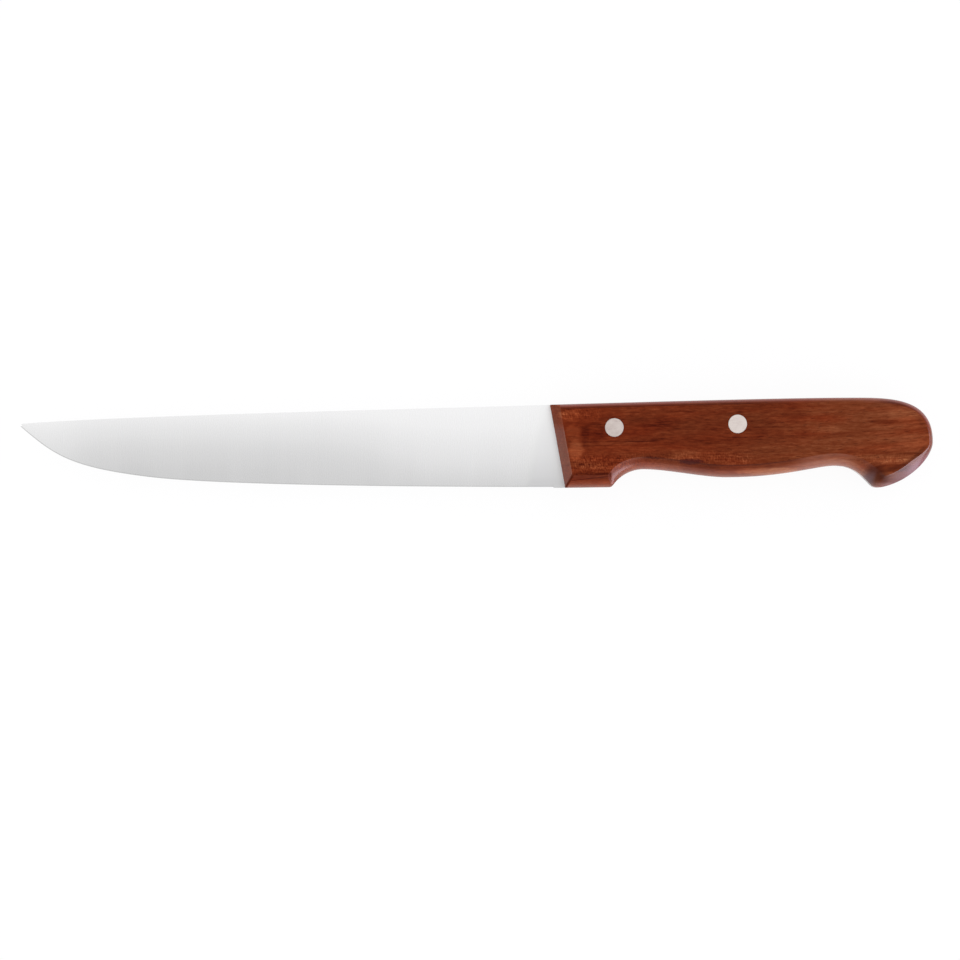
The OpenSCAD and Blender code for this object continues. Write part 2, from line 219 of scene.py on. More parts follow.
# Adds nodes to a shader tree or a geometry tree
class Tree:
    def __init__(self, nodeTree):
        self.nodes = nodeTree.nodes
        self.links = nodeTree.links

    def add(self, kind, sockets=None, settings=None, out=0):
        node = self.nodes.new(kind)
        for name, value in (settings or {}).items():
            if name == "stops":
                self.setStops(node.color_ramp, value)
            else:
                setattr(node, name, value)
        for name, value in (sockets or {}).items():
            for one in value if isinstance(value, list) else [value]:
                if isinstance(one, Wire):
                    self.links.new(one.socket, node.inputs[name])
                else:
                    node.inputs[name].default_value = one
        if out is None:
            return [Wire(self, socket) for socket in node.outputs]
        return Wire(self, node.outputs[out])

    def setStops(self, ramp, stops):
        while len(ramp.elements) < len(stops):
            ramp.elements.new(1)
        for element, (place, shade) in zip(ramp.elements, stops):
            element.position = place
            element.color = shade

    def feed(self, value, node, name):
        self.links.new(value.socket, node.inputs[name])

    def math(self, operation, *values):
        return self.add("ShaderNodeMath", dict(enumerate(values)), {"operation": operation})

    def clamp(self, value):
        return self.add("ShaderNodeClamp", {"Value": value})

    def fade(self, value, start, end, most=1, least=0):
        return self.add("ShaderNodeMapRange", {
            "Value": value, "From Min": start, "From Max": end, "To Min": least, "To Max": most},
            {"interpolation_type": "SMOOTHSTEP"})

    def vector(self, x, y, z):
        return self.add("ShaderNodeCombineXYZ", {0: x, 1: y, 2: z})

    def apart(self, vector):
        return self.add("ShaderNodeSeparateXYZ", {0: vector}, out=None)

    def shade(self, factor, a, b, blend="MIX"):
        return self.add("ShaderNodeMix", {0: factor, 6: a, 7: b},
                        {"data_type": "RGBA", "blend_type": blend}, out=2)

    def ramp(self, value, stops):
        return self.add("ShaderNodeValToRGB", {"Fac": value}, {"stops": stops})

    def noise(self, vector, scale, detail=2, rough=0.5):
        return self.add("ShaderNodeTexNoise", {
            "Vector": vector, "Scale": scale, "Detail": detail, "Roughness": rough})

    def blot(self, x, y, left, right, low, high, soft, most=1):
        # 0 outside a soft-edged box
        return (self.fade(x, left - soft, left + soft, most)
                * self.fade(x, right + soft, right - soft)
                * self.fade(y, low - soft, low + soft) * self.fade(y, high + soft, high - soft))

    def spread(self, x, y, midX, midY, halfX, halfY):
        # 0 in the middle of an ellipse and 1 on its line
        return ((x - midX) / halfX) ** 2 + ((y - midY) / halfY) ** 2

    def relief(self, height, strength, depth):
        return self.add("ShaderNodeBump", {
            "Strength": strength, "Distance": depth * mm, "Height": height})


def screenColour(red, green, blue):
    # a colour as it looks on a screen, from 0 to 255, made linear
    def linear(level):
        level /= 255
        return level / 12.92 if level <= 0.04045 else ((level + 0.055) / 1.055) ** 2.4
    return (linear(red), linear(green), linear(blue), 1)


def tones(*stops):
    return [(place, screenColour(*colour)) for place, *colour in stops]


def newMaterial(name, **fixed):
    made = bpy.data.materials.new(name)
    made.use_nodes = True
    shader = made.node_tree.nodes["Principled BSDF"]
    for socket, value in fixed.items():
        shader.inputs[socket.replace("_", " ")].default_value = value
    return made, Tree(made.node_tree), shader


def knifePlace(tree):
    # millimetres along the knife, above its edge and up from its middle plane
    x, y, z = tree.apart(tree.add("ShaderNodeTexCoord", out=3))
    return x / mm - startX, y / mm - startY, z / mm - middle


# Wood: a dense reddish hardwood, sanded fine on the cheeks and buffed on the bevels
woodLook = {
    "tones": tones((0, 66, 17, 5), (0.14, 85, 28, 9), (0.28, 98, 37, 15), (0.36, 105, 42, 18),
                   (0.44, 113, 49, 24), (0.58, 128, 60, 32), (0.72, 148, 79, 45),
                   (1, 184, 110, 76)),
    # dark colour of the pores, also used for the painted shade in the creases and on the beak
    "pore": screenColour(52, 14, 7),
    "smear": screenColour(50, 14, 20),
    # painted light: a grey reflection, a pale reflection and a lilac sheen on the bevels
    "greyLight": screenColour(96, 74, 77),
    "paleLight": screenColour(158, 124, 120),
    "lilac": screenColour(176, 146, 168),
    "redder": (1.03, 0.93, 0.86, 1),
    "yellower": (0.97, 1.3, 1.5, 1),
    "tone": 0.245,  # how light the wood is, on the scale of tones
    "bands": 0.4,  # strength of each layer of grain, from broad to fine
    "streaks": 0.36,
    "flecks": 0.72,
    "fibres": 0.22,
    "curl": 1.4,
    "wander": 1.4,  # how far the grain leaves its straight course
    "riseFrom": 55,  # where it starts to climb towards the butt
    "riseRate": 0.0006,
    "markRag": 1.2,  # raggedness of marks and of lines
    "lineRag": 0.35,
    "lineShade": (1.8, 0.5, 0.2),
    "lineTaper": 1.5,  # millimetres over which a line comes in and goes out
    "mitreSlope": 0.72,  # the front bevel's lower end, and the line at the guard's corner
    "mitreStart": 0.4,
    "guardLine": 20.2,
    "pores": 0.5,
    "beakShade": 0.7,
    "crease": 0.5,  # darkness of the painted shade in the lines where cheek and bevels meet
    "bevelGrain": 0.6,  # how much of the grain shows on the bevels
    "bevelPores": 0.4,
    "backLift": 0.25,  # painted highlight and shade of the bevels against the cheek's tone
    "turnLift": -0.24,
    "rimHighlight": 0.06,
    "frontLift": 0.17,
    "cheekRoughness": 0.42,
    "bevelRoughness": 0.26,
    "coat": 0.9,  # strength of the varnish on the bevels
    "roundCoat": 0.2,  # least coat on the rounded bevels, and what the rear hollow adds
    "rearCoat": 0.6,
    "rimCoat": 0.3,
    "coatSpan": (0.9, 3),  # depths below the cheek between which the coat sinks to the least
    "beakDull": 0.6,  # share of the coat that is lost at these places
    "backDull": 0.7,
    "turnDull": 0.5,
    "warmth": 2.2,  # how much the hue wanders
    "fibreRoughness": 0.2,
    "poreDepth": 0.8,
    # Noise in the wood: stretch along the knife, scale, detail and roughness
    "noise": {
        "wander": (0.4, 0.09, 1, 0.5),
        "ragged": (0.5, 0.9, 3, 0.6),
        "bands": (0.05, 0.36, 3, 0.55),
        "streaks": (0.05, 1.3, 3, 0.55),
        "flecks": (0.2, 1.8, 2, 0.7),
        "fibres": (0.09, 3.4, 2, 0.55),
        "warmth": (0.15, 0.3, 2, 0.55),
        "vessels": (0.15, 2.7, 1, 0.4),
    },
    # Soft-edged boxes: from and to along the knife, from and to above its edge, softness, strength
    "boxes": {
        "notch": (20.6, 40, -1, 12, 0.4),
        "frontCurl": (7.5, 28, 4.6, 10.6, 1.6),
        "hollowCurl": (28, 68, 7, 11.5, 2, 0.7),
        "cornerCurl": (3, 17, 22.6, 26.4, 1.2, 0.7),
        "buttCurl": (102, 120, 7.4, 11, 1.6, 0.45),
        "calm": (4.5, 11, 9.5, 20.5, 1, 0.5),
        "patchEnd": (10.6, 13, 9.5, 20, 0.35, 0.07),
    },
    # Where effects set in: a value gives none at a span's first number and all at its second. A
    # third number is the strength, and a fourth what there is at the start. Spans are in
    # millimetres along the knife, above its edge, below the cheek or off a line, but for mark,
    # smear, beak and pores, which have no unit
    "spans": {
        "bevel": [(0.002, 0.03)],
        "front": [(3.4, 3.1), (0.15, -0.15)],
        "notch": [(34, 26)],
        "butt": [(110, 112.5), (24, 16)],
        "back": [(18, 22)],
        "rear": [(80, 88), (104, 98)],
        "turn": [(108, 116), (17, 22)],
        "rim": [(0.35, 0.1)],
        "paler": [(60, 96, 0.125)],
        "palest": [(96, 122, 0.085)],
        "fine": [(60, 100, 0.7, 1)],
        "mark": [(1.4, 0.4)],
        "roundLift": [(0.1, 1.7, 0.26)],
        "rearLift": [(1.7, 0.1, 0.1)],
        "notchLift": [(0.2, 2.2, 0.2, 0.1)],
        "buttLift": [(117, 123, -0.14, -0.22)],
        "yellower": [(10, 80, 0.7, 0.2)],
        "pores": [(0.12, 0.21)],
        "morePores": [(60, 90, 1, 0.6)],
        "smear": [(1.3, 0.3, 0.7)],
        "beak": [(1.5, 0.1)],
        "dusk": [(108.6, 106.6), (103.5, 106, 0.75), (6, 2.8, 1, 0.1)],
        "point": [(2, 0.6, 0.5), (106.5, 109)],
        "rearVeil": [(1, 3, 0.1)],
        "gripVeil": [(0.3, 1.5, 0.1), (24, 32)],
        "backVeil": [(0.02, 0.8, 0.37), (2.8, 1.9)],
        "sheen": [(0.1, 1.8), (3.6, 2.6), (14, 9)],
        "paleSheen": [(112, 117, 0.05)],
        "brightSheen": [(117.5, 122.5, 0.14)],
        "backCrease": [(84, 62)],
        "gripCrease": [(25, 33), (88, 78)],
        "crease": [(0.24, 0.06)],
        "mitre": [(0.6, 0.15), (4.9, 4.3, 1.5)],
        "guardLine": [(0.6, 0.1), (-0.2, 4), (4.9, 4.5)],
        "besideButt": [(0.9, 0.3), (112, 114), (15, 12, 0.9)],
        "insideEnd": [(1.5, 0.3), (104, 112), (17, 21, 0.45)],
        "edgeDull": [(2, 0.4, 0.3)],
        "buttShine": [(117, 122, 0.2)],
        "buttDull": [(0.6, 2.4, 0.46, 0.34)],
    },
    # Dark places, the beak's partly painted shade: middle along and above, half length, half
    # height and raggedness
    "darkPlaces": {"smear": (46.8, 8.5, 4.2, 0.95, 2.5), "beak": (109.2, 3.6, 4, 4.4, 0.8)},
    # Marks in the wood: middle along and above, half length, half height, and how much lighter
    "marks": [
        (8.6, 12.2, 2.7, 3.6, 0.28), (7.6, 18.4, 2.7, 2.8, 0.19), (6.4, 24, 4, 1.7, 0.2),
        (14.2, 18.2, 4.6, 3.6, -0.08), (37, 20.5, 7, 2.2, -0.06), (45.5, 10.6, 6, 1.7, 0.1),
        (35, 9.9, 3.6, 0.5, -0.16), (31, 15.9, 7, 0.9, -0.1),
        (70.5, 20.4, 4.6, 3.6, -0.08), (82, 24.5, 4.6, 2.2, -0.06),
        (92, 19.2, 6.4, 1.5, 0.08), (111.5, 21.9, 5.2, 0.7, -0.2), (118.5, 24.6, 5.2, 2.2, 0.08),
        (122, 15.6, 5.4, 2.4, 0.07), (114, 11.4, 9, 0.6, -0.18), (74, 5.2, 11.5, 1.3, 0.22),
        (113, 9.2, 7, 1, 0.09), (115, 6.3, 6.5, 1.5, -0.16), (50.5, 6.4, 7, 1.8, -0.1),
    ],
    # Thin dark lines: start, end, height at each, and half width
    "lines": [
        (13, 37, 15.4, 15.4, 0.13), (57, 66, 16.6, 16.6, 0.1), (4.8, 9.6, 17.1, 17.1, 0.16),
        (7.4, 20.5, 4.45, 4.45, 0.4), (6.6, 20.5, 2.2, 3.6, 0.22),
    ],
    # Round painted shades on the cheek: middle, radius and raggedness
    "rounds": {"besideButt": (110.7, 23.4, 17.7, 0.5), "insideEnd": (112.4, 13.8, 14.3, 0.6)},
}


def woodZones(tree):
    # where a point of the wood lies: distances in millimetres, and masks from 0 to 1
    at = SimpleNamespace()
    along, height, z = at.along, at.height, at.z = knifePlace(tree)

    def fade(name, *values):
        spans = woodLook["spans"][name]
        first, *rest = [tree.fade(value, *span) for value, span in zip(values, spans)]
        return prod(rest, start=first)

    def box(name):
        return tree.blot(along, height, *woodLook["boxes"][name])

    at.fade, at.box = fade, box
    at.depth = thickness / 2 - abs(z)
    fromFront = along - (knifeLines["heelHeight"] - height) * (
        knifeLines["frontLean"] / (knifeLines["heelHeight"] + knifeLines["heelFoot"]))
    at.pastMitre = fromFront - height * woodLook["mitreSlope"] - woodLook["mitreStart"]
    at.bevel = fade("bevel", at.depth)
    at.front = fade("front", fromFront, at.pastMitre)
    at.notch = box("notch") * fade("notch", along)
    at.butt = fade("butt", along, height)
    at.back = fade("back", height)
    at.crisp = tree.clamp(at.front + at.notch + at.butt)
    at.soft = at.bevel * (1 - at.crisp)
    at.low = at.depth * (1 + at.back)
    at.rear = fade("rear", along, along) * (1 - at.back)
    at.turn = fade("turn", along, height)
    at.rim = at.crisp * fade("rim", at.depth)
    return at


def woodGrain(tree, at):
    look = woodLook

    def noise(name, across, z):
        stretch, *kind = look["noise"][name]
        return tree.noise(tree.vector(at.along * stretch, across, z), *kind) - 0.5

    past = tree.math("MAXIMUM", at.along - look["riseFrom"], 0)
    wander = noise("wander", at.height, at.z)
    across = at.height - past * past * look["riseRate"] + wander * look["wander"]
    layers = {name: noise(name, across, at.z * 0.7)
              for name in ("bands", "streaks", "flecks", "fibres", "warmth")}
    curled = tree.vector(at.along + at.height * 0.25, at.height * 0.4, at.z)
    return SimpleNamespace(
        wander=wander, ragged=noise("ragged", at.height, at.z),
        vessels=noise("vessels", across, at.z),
        curl=tree.noise(curled, 2.1, 2, 0.75) - 0.4257, **layers)


def cheekTone(tree, at, grain):
    look, along, height = woodLook, at.along, at.height
    # curl shows along the lower edge and in the upper front corner
    curly = at.box("frontCurl") + at.box("hollowCurl") + at.box("cornerCurl") + at.box("buttCurl")
    fine = at.fade("fine", along)
    figure = (grain.bands * look["bands"] + grain.streaks * look["streaks"]
              + grain.flecks * look["flecks"] * fine + grain.fibres * look["fibres"] * fine
              + grain.curl * look["curl"] * curly)
    # the light patch at the front ends at a nearly straight line
    tone = (look["tone"] + at.fade("paler", along) + at.fade("palest", along) - at.box("patchEnd")
            + figure * (1 - at.bevel * (1 - look["bevelGrain"])) * (1 - at.box("calm")))
    for *place, change in look["marks"]:
        spread = tree.spread(along, height, *place) + grain.ragged * look["markRag"]
        tone = tone + at.fade("mark", spread) * change
    for start, end, startHeight, endHeight, width in look["lines"]:
        line = height - startHeight - (along - start) * ((endHeight - startHeight) / (end - start))
        off = abs(line + grain.wander + grain.ragged * look["lineRag"]) / width
        tone = tone - (tree.fade(off, *look["lineShade"])
                       * tree.fade(along, start, start + look["lineTaper"])
                       * tree.fade(along, end, end - look["lineTaper"]))
    return tone


def bevelLightAndShade(at):
    # painted highlight and shade on the bevels: lighter towards their outer edge, at the rims, on
    # the front and notch chamfers and in the rear hollow, darker on the round end's top and the
    # butt's chamfer
    look, fade = woodLook, at.fade
    rounded = (fade("roundLift", at.low) * (1 - at.back * (1 - look["backLift"]))
               + fade("rearLift", at.low) * at.rear + at.turn * look["turnLift"])
    chamfer = (at.rim * look["rimHighlight"] + at.front * look["frontLift"]
               + fade("notchLift", at.depth) * at.notch + fade("buttLift", at.along) * at.butt)
    return at.soft * rounded + at.bevel * chamfer


def woodStainsAndShade(tree, at, grain):
    # short dark vessel lines, more of them towards the butt, and two dark places: a smear, and one
    # on the beak that is partly dark wood and partly painted shade
    def darkPlace(name):
        *place, rag = woodLook["darkPlaces"][name]
        return at.fade(name, tree.spread(at.along, at.height, *place) + grain.ragged * rag)

    pores = at.fade("pores", grain.vessels) * at.fade("morePores", at.along)
    return pores, darkPlace("smear"), darkPlace("beak")


def woodLights(at):
    # painted light in the colour: grey light on the beak's side towards the hollow, pale light
    # on its point and along the edges, and a lilac sheen on the butt's chamfer
    fade, along, height, depth = at.fade, at.along, at.height, at.depth
    dusk = fade("dusk", along - height * 0.3, along, height)
    paleLightMask = fade("point", height, along) + at.soft * (
        fade("rearVeil", depth) * at.rear + fade("gripVeil", at.low, along) * (1 - at.back)
        + fade("backVeil", depth, depth) * at.back)
    sheen = (fade("sheen", depth, depth, height) * at.butt
             * (fade("paleSheen", along) + fade("brightSheen", along)))
    return at.bevel * dusk, at.bevel * paleLightMask, at.bevel * sheen


def woodCreaseShade(tree, at, grain):
    # painted shade: a dark line where cheek and bevel meet, along the mitre of the front bevel
    # and on the cheek beside the butt's bevel, with a broader shade inside the round end
    fade, along, height = at.fade, at.along, at.height

    def roundShade(name):
        midX, midY, radius, rag = woodLook["rounds"][name]
        away = tree.spread(along, height, midX, midY, 1, 1) ** 0.5 - radius
        return fade(name, abs(away + grain.ragged * rag), along, height)

    creaseShadeReach = (fade("backCrease", along) * at.back
               + fade("gripCrease", along, along) * (1 - at.back))
    mitre = at.bevel * (
        fade("mitre", abs(at.pastMitre), height)
        + fade("guardLine", abs(along - woodLook["guardLine"]), height, height))
    dark = (fade("crease", at.depth) * at.soft * creaseShadeReach + mitre
            + roundShade("besideButt") * (1 - at.bevel) + roundShade("insideEnd"))
    return tree.clamp(dark) * woodLook["crease"], tree.clamp(mitre)


def woodCoat(tree, at, beak, mitre):
    look, fade, butt = woodLook, at.fade, at.butt
    dull = (fade("edgeDull", at.depth) * (1 - butt)
            + butt * (fade("buttDull", at.depth) - fade("buttShine", at.along)))
    least = at.rear * look["rearCoat"] + look["roundCoat"]
    coat = (at.crisp * (1 - dull) + at.rim * look["rimCoat"]
            + (1 - at.crisp) * tree.fade(at.low, *look["coatSpan"], 1, least))
    for mask, loss in ((beak, look["beakDull"]), (at.back, look["backDull"]),
                       (at.turn, look["turnDull"])):
        coat = coat * (1 - mask * loss)
    return at.bevel * coat * (1 - mitre) * look["coat"]


def woodMaterial():
    look = woodLook
    made, tree, shader = newMaterial("varnishedWood", Specular_IOR_Level=0.03, Coat_IOR=1.5,
                                     Coat_Roughness=0.22)
    at = woodZones(tree)
    grain = woodGrain(tree, at)
    # the bevels' part of the tone is painted highlight and shade
    tone = cheekTone(tree, at, grain) + bevelLightAndShade(at)
    hue = grain.warmth * look["warmth"] + at.fade("yellower", at.along)
    tint = tree.shade(tree.clamp(hue), look["redder"], look["yellower"])
    wood = tree.shade(1.0, tree.ramp(tree.clamp(tone), look["tones"]), tint, "MULTIPLY")
    pores, smear, beak = woodStainsAndShade(tree, at, grain)
    dusk, paleLightMask, sheen = woodLights(at)
    dark, mitre = woodCreaseShade(tree, at, grain)
    # pores and the smear are the wood's own marks; the beak's dark place is partly painted shade,
    # and the grey light, pale light, lilac sheen and crease lines are painted light and shade
    poreShade = pores * (1 - at.bevel * (1 - look["bevelPores"])) * look["pores"]
    paleLight = tree.clamp(paleLightMask * (1 - beak * look["beakDull"]))
    for amount, colour in ((poreShade, "pore"), (smear, "smear"),
                           (beak * look["beakShade"], "pore"), (dusk, "greyLight"), (paleLight, "paleLight"),
                           (sheen, "lilac"), (dark, "pore")):
        wood = tree.shade(amount, wood, look[colour])
    tree.feed(wood, shader, "Base Color")
    tree.feed(woodCoat(tree, at, beak, mitre), shader, "Coat Weight")
    rough = (look["cheekRoughness"] + at.bevel * (look["bevelRoughness"] - look["cheekRoughness"])
             + grain.fibres * look["fibreRoughness"])
    tree.feed(rough, shader, "Roughness")
    tree.feed(tree.relief(grain.fibres - pores * look["poreDepth"], 0.25, 0.05), shader,
              "Normal")
    return made


# Steel: satin, ground across the blade, and duller on the unground heel. Its colour holds a
# painted reflection, lighter towards the spine and darker towards the edge
steelLook = {
    "tones": tones((0, 203, 203, 203), (0.06, 209, 209, 209), (0.33, 223, 223, 223),
                   (0.57, 231, 231, 231), (0.75, 237, 237, 237), (1, 241, 241, 241)),
    "tipHalf": (-35, -85, 2.3, 1),  # towards the tip the painted reflection darkens faster towards the edge
    "tipEdge": (-110, -60, 0.04),
    "tip": (-150, -172, 0.19),  # and the painted reflection gets lighter at the tip itself
    "unground": (-1.5, 2),
    "heel": 0.1,  # how much darker the unground heel is
    "lines": 0.03,
    "bands": 0.12,
    "roughness": 0.27,
    "unevenness": 0.06,
    "linesPerMm": 5.5,
}


def steelMaterial():
    look = steelLook
    made, tree, shader = newMaterial("groundSteel", Metallic=1.0)
    along, height, z = knifePlace(tree)
    lines = tree.noise(tree.vector(along, height * 0.012, z * 0.1),
                       look["linesPerMm"], 3, 0.6) - 0.5
    bands = tree.noise(tree.vector(along, height * 0.15, 0.0), 0.09, 2, 0.5) - 0.5
    # painted reflection: the colour gets lighter from the edge up to the spine
    level = tree.clamp(height / knifeLines["heelHeight"])
    pastGrind = along + knifeLines["grindStop"] - height * knifeLines["grindLean"]
    unground = tree.fade(pastGrind, *look["unground"])
    tone = (level ** tree.fade(along, *look["tipHalf"])
            + tree.fade(along, *look["tipEdge"]) * (1 - level) + tree.fade(along, *look["tip"])
            - unground * look["heel"] + lines * look["lines"] + bands * look["bands"])
    tree.feed(tree.ramp(tree.clamp(tone), look["tones"]), shader, "Base Color")
    tree.feed(look["roughness"] + (lines + unground) * look["unevenness"], shader, "Roughness")
    tree.feed(tree.relief(lines, 0.03, 0.02), shader, "Normal")
    return made


# Rivets: matt light metal, sanded flush with the wood
rivetLook = {
    "metal": screenColour(212, 203, 195),
    "worn": screenColour(174, 160, 153),
    "wear": (35, 50, 0.05, 0.45),  # the rear rivet is less worn
    "roughness": 0.46,
}


def rivetMaterial():
    look = rivetLook
    made, tree, shader = newMaterial("sandedRivet", Metallic=0.9)
    along, height, z = knifePlace(tree)
    lines = tree.noise(tree.vector(along * 0.06, height, z), 7, 2, 0.6) - 0.5
    cloud = tree.noise(tree.vector(along, height, z), 0.55, 3, 0.6) - 0.5
    wear = tree.fade(along, *look["wear"]) + lines * 0.9 + cloud * 0.7
    metal = tree.shade(tree.clamp(wear), look["metal"], look["worn"])
    tree.feed(metal, shader, "Base Color")
    tree.feed(look["roughness"] + lines * 0.2 + cloud * 0.15, shader, "Roughness")
    tree.feed(tree.relief(lines, 0.2, 0.01), shader, "Normal")
    return made


woodFinish = woodMaterial()
steelFinish = steelMaterial()
rivetFinish = rivetMaterial()
print("materials made")


# Mesh helpers
def show(name, data):
    made = bpy.data.objects.new(name, data)
    bpy.context.scene.collection.objects.link(made)
    return made


def meshObject(name, verts, faces, finish=None):
    mesh = bpy.data.meshes.new(name)
    mesh.from_pydata([tuple(v) for v in verts], [], faces)
    if finish:
        mesh.materials.append(finish)
    return show(name, mesh)


def stacked(name, rings, finish=None):
    # a closed skin over rings of equal length
    size, last = len(rings[0]), (len(rings) - 1) * len(rings[0])
    faces = [list(range(size - 1, -1, -1)), [last + n for n in range(size)]]
    for low in range(0, last, size):
        for n in range(size):
            m = (n + 1) % size
            faces.append([low + n, low + m, low + size + m, low + size + n])
    return meshObject(name, [point for ring in rings for point in ring], faces, finish)


def plate(name, outline, low, high, finish=None):
    return stacked(name, [[inFrame(p.x, p.y, z) for p in outline] for z in (low, high)], finish)


def plainMesh(piece):
    # what the modifiers make becomes the object's own mesh
    shown = piece.evaluated_get(bpy.context.evaluated_depsgraph_get())
    mesh = bpy.data.meshes.new_from_object(shown)
    piece.modifiers.clear()
    piece.data = mesh


def combine(piece, other, operation):
    step = piece.modifiers.new(operation.lower(), "BOOLEAN")
    step.operation = operation
    step.solver = "EXACT"
    step.object = other
    plainMesh(piece)
    bpy.data.objects.remove(other)


def outwards(piece):
    shape = bmesh.new()
    shape.from_mesh(piece.data)
    bmesh.ops.remove_doubles(shape, verts=shape.verts, dist=1e-7)
    bmesh.ops.recalc_face_normals(shape, faces=shape.faces)
    loose = sum(len(edge.link_faces) != 2 for edge in shape.edges)
    shape.to_mesh(piece.data)
    shape.free()
    print(piece.name, len(piece.data.polygons), "faces,", loose, "open edges")


def smoothed(piece, angle):
    for face in piece.data.polygons:
        face.use_smooth = True
    piece.data.set_sharp_from_angle(angle=radians(angle))
    step = piece.modifiers.new("evenNormals", "WEIGHTED_NORMAL")
    step.keep_sharp = True
    plainMesh(piece)


def grown(name, group, names, values):
    # a mesh that a Geometry Nodes tree makes; the guides among its inputs are removed
    piece = meshObject(name, [], [])
    step = piece.modifiers.new("grown", "NODES")
    step.node_group = group
    for label, value in values.items():
        step[names[label]] = value
    plainMesh(piece)
    for value in values.values():
        if isinstance(value, bpy.types.Object):
            bpy.data.objects.remove(value)
    outwards(piece)
    return piece


def newGeometryTree(name, inputs):
    group = bpy.data.node_groups.new(name, "GeometryNodeTree")
    names = {}
    for label, kind in inputs.items():
        socket = group.interface.new_socket(label, in_out="INPUT", socket_type="NodeSocket" + kind)
        names[label] = socket.identifier
    group.interface.new_socket("Geometry", in_out="OUTPUT", socket_type="NodeSocketGeometry")
    tree = Tree(group)
    given = dict(zip(inputs, tree.add("NodeGroupInput", out=None)))
    return group, names, tree, given


def endTree(tree, geometry, finish):
    real = tree.add("GeometryNodeRealizeInstances", {0: geometry})
    dressed = tree.add("GeometryNodeSetMaterial", {"Geometry": real, "Material": finish})
    tree.add("NodeGroupOutput", {0: dressed}, out=None)


# Turned parts: a profile of radius and height is turned once and set on every centre
def turnedTree():
    group, names, tree, given = newGeometryTree("turnedParts", {
        "Profile": "Object", "Centres": "Object", "Facets": "Int", "Finish": "Material"})

    def meshOf(guide):
        return tree.add("GeometryNodeObjectInfo", {"Object": given[guide]}, out="Geometry")

    profile = meshOf("Profile")
    count = tree.add("GeometryNodeAttributeDomainSize", {0: profile}, out="Point Count")
    grid = tree.add("GeometryNodeMeshGrid", {
        "Vertices X": given["Facets"] + 1, "Vertices Y": count})
    index = tree.add("GeometryNodeInputIndex")
    around = tree.math("FLOOR", (index + 0.5) / count)
    spot = tree.add("GeometryNodeSampleIndex", {
        "Geometry": profile, "Value": tree.add("GeometryNodeInputPosition"),
        "Index": index - around * count}, {"data_type": "FLOAT_VECTOR"})
    radius, _, z = tree.apart(spot)
    turn = around * (2 * pi) / given["Facets"]
    turned = tree.add("GeometryNodeSetPosition", {"Geometry": grid, "Position": tree.vector(
        radius * tree.math("COSINE", turn), radius * tree.math("SINE", turn), z)})
    sewn = tree.add("GeometryNodeMergeByDistance", {"Geometry": turned, "Distance": 1e-7})
    placed = tree.add("GeometryNodeInstanceOnPoints", {
        "Points": meshOf("Centres"), "Instance": sewn})
    endTree(tree, placed, given["Finish"])
    return group, names


turnedGroup, turnedNames = turnedTree()


def turnedParts(name, profile, finish=None):
    shape = meshObject(name + "Profile", [(r * mm, 0, z * mm) for r, z in profile], [])
    centres = meshObject(name + "Centres", [inFrame(p.x, p.y, 0) for p in rivetCentres()], [])
    return grown(name, turnedGroup, turnedNames, {
        "Profile": shape, "Centres": centres, "Facets": rivetSizes["facets"], "Finish": finish})


# Tang and rivets share these sizes
tangSizes = {
    "length": 76,
    "height": 16.6,
    "insert": 6,
    "fillet": 3,
    "corner": 4,
    "slotGap": 0.05,
    "slotRunout": 0.8,
    "cutterOver": 5,
    "seat": 0.002,  # the tang is this much thinner, so that it ends inside the heel
}
rivetSizes = {
    "reach": 21.5,
    "back": 13.2,
    "head": 6.3,
    "headDepth": 1.6,
    "sleeve": 4,
    "stem": 3,
    "gap": 0.02,
    "sleeveGap": 0.3,
    "stemGap": 2,
    "crown": 0.03,
    "rim": 0.12,
    "rimPieces": 5,
    "crownPieces": 24,
    "facets": 96,
    "softBelow": 30,  # degrees between faces that are shaded as one
}
bore = rivetSizes["sleeve"] / 2 + rivetSizes["gap"]
lowCheek, highCheek = middle - thickness / 2, middle + thickness / 2


def rivetCentres():
    level = knifeLines["heelHeight"] - tangSizes["height"] / 2
    for along in (rivetSizes["reach"], tangSizes["length"] - rivetSizes["back"]):
        yield Vector((along, level + along * rise))


def topAt(x):
    return heightAt(curves["spine" if x < 0 else "backAhead"], x)


def arc(centre, radius, start, end, pieces=10):
    return [centre + heading(mixed(start, end, n / pieces), radius) for n in range(pieces + 1)]


def tangOutline(gap=0, runout=0, over=0):
    size, foot = tangSizes, knifeLines["heelFoot"]
    frontFoot, lean = curves["front"][3], knifeLines["frontLean"]

    def under(x):
        return knifeLines["heelHeight"] - size["height"] - gap + x * rise

    back = lean + size["insert"] + gap
    fillet = size["fillet"] - gap
    rear = size["length"] + runout
    filletX = back - lean / (knifeLines["heelHeight"] + foot) * under(back) + fillet + gap
    cornerX = rear - size["corner"]
    bends = (arc(Vector((filletX, under(filletX) - fillet)), fillet, 180, 90)
             + arc(Vector((cornerX, under(cornerX) + size["corner"])), size["corner"], 270, 360))
    if over:
        high = curves["rump"][3].y + over
        return ([Vector((-over, -foot - over)), Vector((back, -foot - over))] + bends
                + [Vector((rear, high)), Vector((-over, high))])
    top = [Vector((rear * n / 40, topAt(rear * n / 40))) for n in range(40, -1, -1)]
    return [frontFoot, Vector((back, heightAt(curves["guard"], back)))] + bends + top


